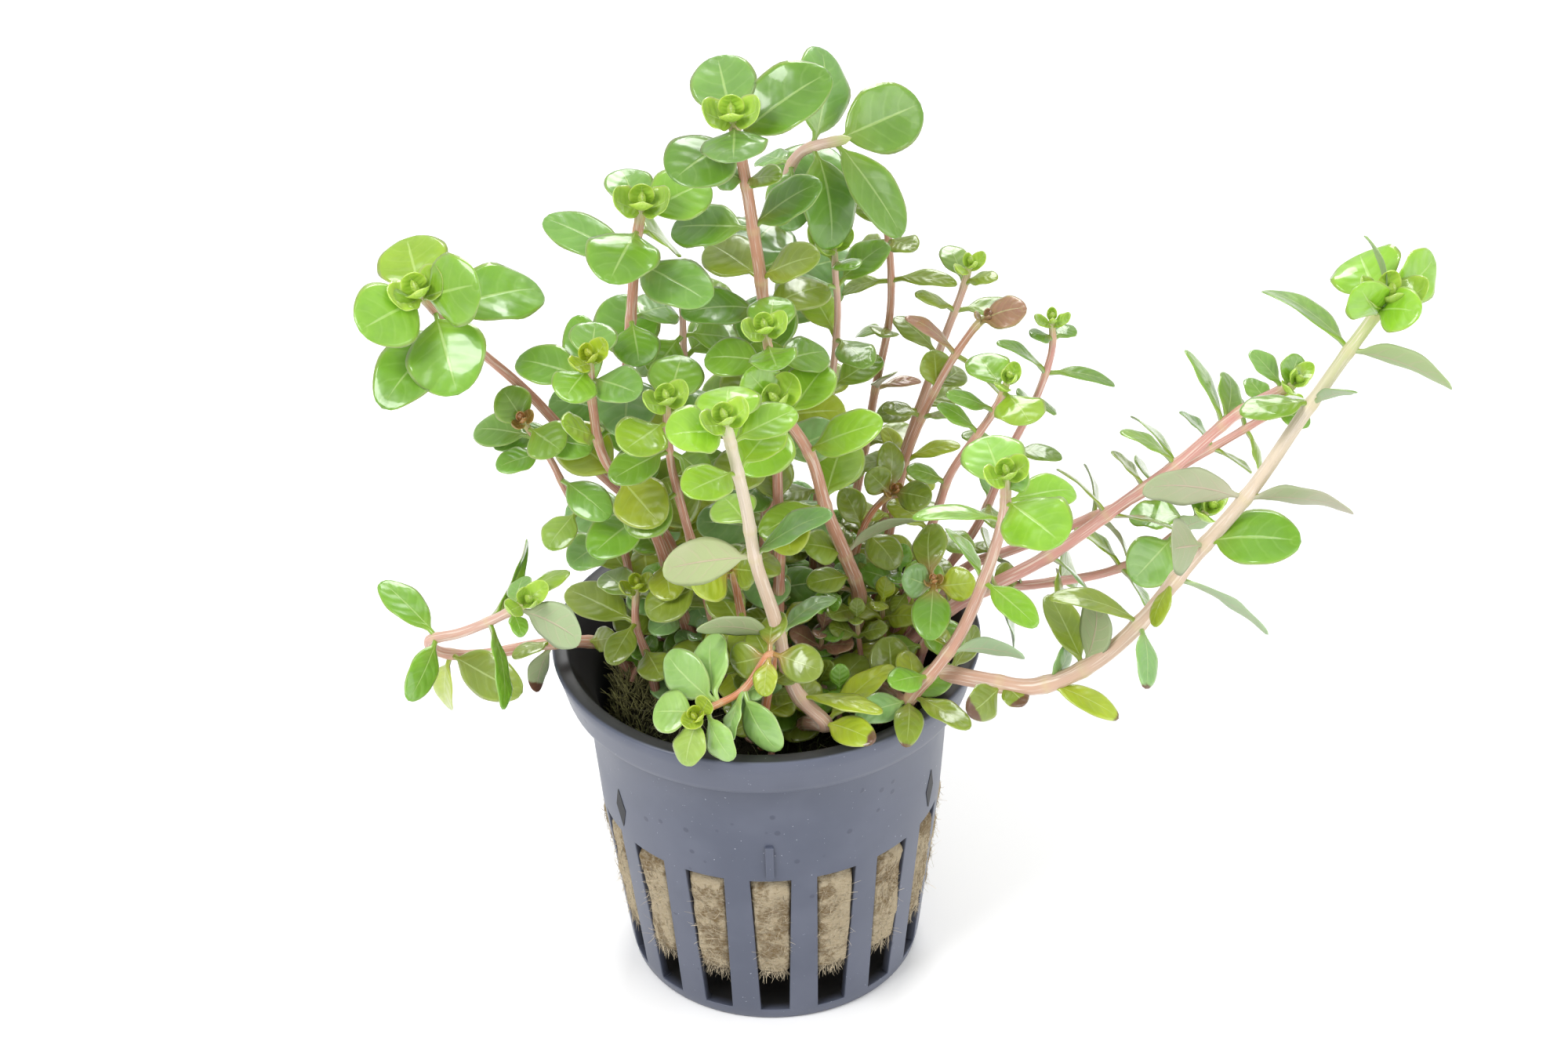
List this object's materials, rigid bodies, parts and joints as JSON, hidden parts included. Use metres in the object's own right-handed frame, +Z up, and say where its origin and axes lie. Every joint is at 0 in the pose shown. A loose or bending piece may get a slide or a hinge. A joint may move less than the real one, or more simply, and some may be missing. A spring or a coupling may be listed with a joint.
{
  "type": "potted aquarium stem plant",
  "caption": "Round-leaved rotala stem plant, leafy shoots rising and trailing from a wool plug in a slotted net pot.",
  "frame": {"origin": "middle of the pot's foot, on the surface it stands on", "axes": "+Z up along the pot's axis, -Y towards the front, +X to the right, where the long shoots arch over the rim"},
  "size_m": [0.1298, 0.0623, 0.1306],
  "materials": {
    "pot_plastic": "satin moulded plastic",
    "rock_wool": "matt fibre",
    "shoot_green": "glossy leaf",
    "shoot_fresh": "glossy leaf",
    "shoot_olive": "glossy leaf",
    "shoot_brown": "glossy leaf"
  },
  "bodies": {
    "root": {"net_pot": "pot_plastic", "rock_wool": "rock_wool", "shoot_top_centre": "shoot_green", "shoot_top_right": "shoot_green", "shoot_left_top": "shoot_green", "shoot_left_far": "shoot_green", "shoot_left_mid": "shoot_green", "shoot_left_low": "shoot_olive", "shoot_left_inner": "shoot_green", "shoot_left_short": "shoot_olive", "shoot_left_trailing": "shoot_green", "shoot_front_pale": "shoot_green", "shoot_front_small": "shoot_fresh", "shoot_front_right": "shoot_green", "shoot_centre_pink": "shoot_green", "shoot_centre": "shoot_green", "shoot_back_left": "shoot_green", "shoot_back_slim": "shoot_olive", "shoot_back_tall": "shoot_olive", "shoot_back_right": "shoot_olive", "shoot_brown_leaf": "shoot_brown", "shoot_right_slim": "shoot_olive", "shoot_right_thin": "shoot_olive", "shoot_right_arch": "shoot_green", "shoot_right_red": "shoot_olive", "shoot_right_behind": "shoot_olive", "shoot_right_low": "shoot_olive", "rosette_right": "shoot_olive", "rosette_left": "shoot_olive", "rosette_brown": "shoot_brown"}
  },
  "joints": []
}
